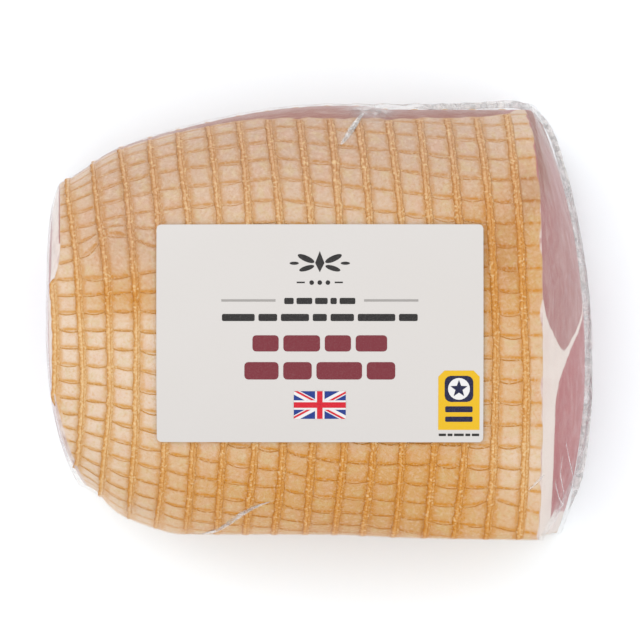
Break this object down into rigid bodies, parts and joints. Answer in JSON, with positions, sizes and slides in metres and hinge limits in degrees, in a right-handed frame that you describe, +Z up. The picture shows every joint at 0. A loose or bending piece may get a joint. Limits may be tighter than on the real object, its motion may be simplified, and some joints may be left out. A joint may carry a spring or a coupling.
{
  "type": "pack of smoked gammon",
  "caption": "Smoked gammon joint with its rind on, in an elastic net, sealed in tight clear film with a plain paper label, lying on its back.",
  "frame": {"origin": "middle of the pack's footprint, on the surface it lies on", "axes": "+X along the joint to its large cut face, +Y across it to the round shoulder side, +Z up out of the labelled front"},
  "size_m": [0.179, 0.1426, 0.0847],
  "materials": {
    "rind": "smoked pork rind, with white fat and pink cured lean at the cut faces, moist, satin",
    "netting": "elastic net cord stained by smoke",
    "film": "thin clear vacuum film, glossy, creased at the ends",
    "label": "coated paper label, warm light grey",
    "print": "printed fields of colour and rules on the label"
  },
  "bodies": {
    "root": {"gammon_pack": "rind", "label": "label"}
  },
  "joints": []
}
